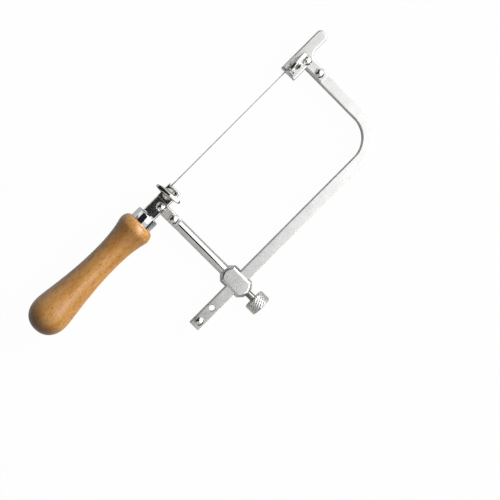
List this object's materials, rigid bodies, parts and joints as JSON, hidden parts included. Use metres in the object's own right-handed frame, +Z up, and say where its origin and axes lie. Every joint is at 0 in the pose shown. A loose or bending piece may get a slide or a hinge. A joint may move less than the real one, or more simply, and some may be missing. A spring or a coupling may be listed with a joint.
{
  "type": "fret saw",
  "caption": "Adjustable fret saw with a turned wooden handle, a bent bar frame held in a slider by a knurled lock screw, and wing screw clamps for the blade.",
  "frame": {"origin": "on the bench under the middle of the saw, which lies on its side", "axes": "+X along the blade from the handle to the nose, +Y from the spine to the blade, +Z up, out of the side with the clamps"},
  "size_m": [0.2816, 0.1133, 0.029],
  "materials": {
    "beech": "turned and varnished",
    "ferrule_chrome": "mirror polished chrome plate",
    "polished_plate": "polished nickel plate",
    "rivet_steel": "polished nickel plate",
    "satin_nickel": "satin nickel plate",
    "cast_nickel": "cast and nickel plated",
    "knurled_nickel": "knurled, nickel plated",
    "screw_steel": "turned steel",
    "pad_brass": "turned brass",
    "blade_steel": "hardened spring steel"
  },
  "bodies": {
    "handle_side": {"handle": "beech", "ferrule": "ferrule_chrome", "tang_plate": "polished_plate", "lower_arm": "polished_plate", "slider_block": "satin_nickel", "tang_rivet_upper": "rivet_steel", "tang_rivet_lower": "rivet_steel", "lower_guide_pin": "screw_steel"},
    "frame": {"frame_bar": "satin_nickel", "nose_plate": "satin_nickel", "nose_rivet_upper": "rivet_steel", "nose_rivet_lower": "rivet_steel", "stop_rivet": "rivet_steel", "upper_guide_pin": "screw_steel", "blade": "blade_steel"},
    "lower_jaw": {"lower_jaw": "polished_plate"},
    "lower_screw": {"lower_wing_screw": "cast_nickel"},
    "upper_jaw": {"upper_jaw": "satin_nickel"},
    "upper_screw": {"upper_wing_screw": "cast_nickel"},
    "lock_pad": {"pressure_pad": "pad_brass"},
    "lock_screw": {"lock_stud": "screw_steel", "lock_knob": "knurled_nickel"}
  },
  "joints": [
    {"name": "frame_slide", "type": "slide", "parent": "handle_side", "child": "frame", "axis": [1, 0, 0], "range_m": [-0.013, 0.0271]},
    {"name": "lower_jaw_lift", "type": "slide", "parent": "handle_side", "child": "lower_jaw", "axis": [0, 0, 1], "range_m": [0, 0.0014]},
    {"name": "lower_screw_turn", "type": "hinge", "parent": "lower_jaw", "child": "lower_screw", "pos_m": [-0.0121, 0.04325, 0.01853], "axis": [0, 0, 1], "range_deg": [0, 720]},
    {"name": "upper_jaw_lift", "type": "slide", "parent": "frame", "child": "upper_jaw", "axis": [0, 0, 1], "range_m": [0, 0.0014]},
    {"name": "upper_screw_turn", "type": "hinge", "parent": "upper_jaw", "child": "upper_screw", "pos_m": [0.1112, 0.04455, 0.01853], "axis": [0, 0, 1], "range_deg": [0, 720]},
    {"name": "lock_pad_travel", "type": "slide", "parent": "handle_side", "child": "lock_pad", "axis": [0, -1, 0], "range_m": [0, 0.0016]},
    {"name": "lock_screw_turn", "type": "hinge", "parent": "lock_pad", "child": "lock_screw", "pos_m": [-0.0218, -0.03865, 0.00865], "axis": [0, -1, 0], "range_deg": [0, 720]}
  ],
  "couplings": [
    {"joint": "lower_jaw_lift", "follows": "lower_screw_turn", "m_per_rad": 0.00011141},
    {"joint": "upper_jaw_lift", "follows": "upper_screw_turn", "m_per_rad": 0.00011141},
    {"joint": "lock_pad_travel", "follows": "lock_screw_turn", "m_per_rad": 0.00012732}
  ]
}
